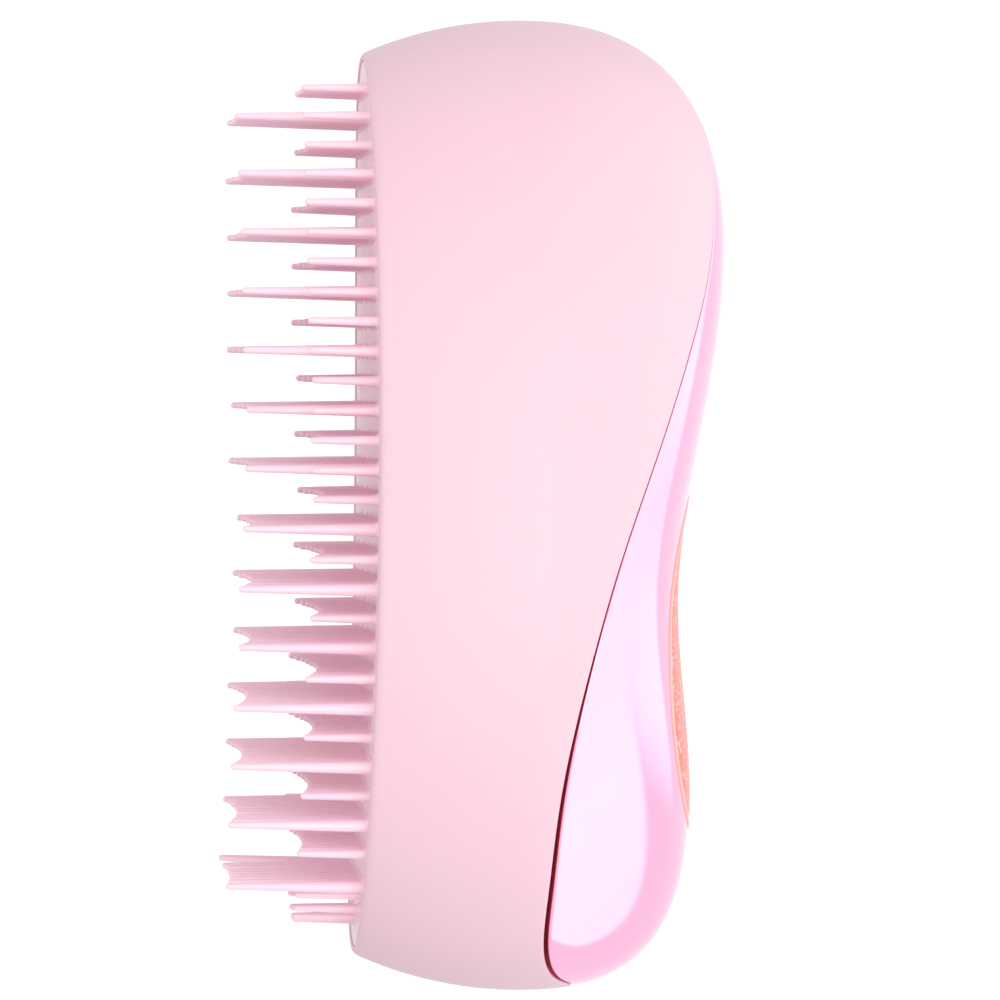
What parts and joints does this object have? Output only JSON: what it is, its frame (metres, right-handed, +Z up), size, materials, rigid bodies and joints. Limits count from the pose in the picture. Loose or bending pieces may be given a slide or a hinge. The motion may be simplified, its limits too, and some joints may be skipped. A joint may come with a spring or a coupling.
{
  "type": "palm-held detangling hair brush",
  "caption": "Palm-held oval hair brush with rows of long and short flexible teeth, a smooth shell and a teardrop mirror-finish back panel with an inlaid thumb pad.",
  "frame": {"origin": "on the ground under the middle of the brush, which stands on the tips of its long teeth", "axes": "+X from the full head end to the low heel end, along the length; +Y across the width; +Z up from the tooth tips to the back"},
  "size_m": [0.09, 0.067, 0.046],
  "materials": {
    "shell_plastic": "smooth satin moulding",
    "panel_chrome": "pink metallised mirror",
    "pad_gloss": "coral glitter under a clear gloss",
    "carrier_plastic": "plain moulding",
    "tooth_plastic": "soft satin flexible plastic"
  },
  "bodies": {
    "root": {"body_shell": "shell_plastic", "back_panel": "panel_chrome", "grip_pad": "pad_gloss", "tooth_carrier": "carrier_plastic", "tooth_bed": "tooth_plastic", "long_tooth_row_01": "tooth_plastic", "long_tooth_row_02": "tooth_plastic", "long_tooth_row_03": "tooth_plastic", "long_tooth_row_04": "tooth_plastic", "long_tooth_row_05": "tooth_plastic", "long_tooth_row_06": "tooth_plastic", "long_tooth_row_07": "tooth_plastic", "long_tooth_row_08": "tooth_plastic", "long_tooth_row_09": "tooth_plastic", "long_tooth_row_10": "tooth_plastic", "long_tooth_row_11": "tooth_plastic", "long_tooth_row_12": "tooth_plastic", "long_tooth_row_13": "tooth_plastic", "long_tooth_row_14": "tooth_plastic", "short_tooth_row_01": "tooth_plastic", "short_tooth_row_02": "tooth_plastic", "short_tooth_row_03": "tooth_plastic", "short_tooth_row_04": "tooth_plastic", "short_tooth_row_05": "tooth_plastic", "short_tooth_row_06": "tooth_plastic", "short_tooth_row_07": "tooth_plastic", "short_tooth_row_08": "tooth_plastic", "short_tooth_row_09": "tooth_plastic", "short_tooth_row_10": "tooth_plastic", "short_tooth_row_11": "tooth_plastic", "short_tooth_row_12": "tooth_plastic", "short_tooth_row_13": "tooth_plastic", "short_tooth_row_14": "tooth_plastic", "short_tooth_row_15": "tooth_plastic"}
  },
  "joints": []
}
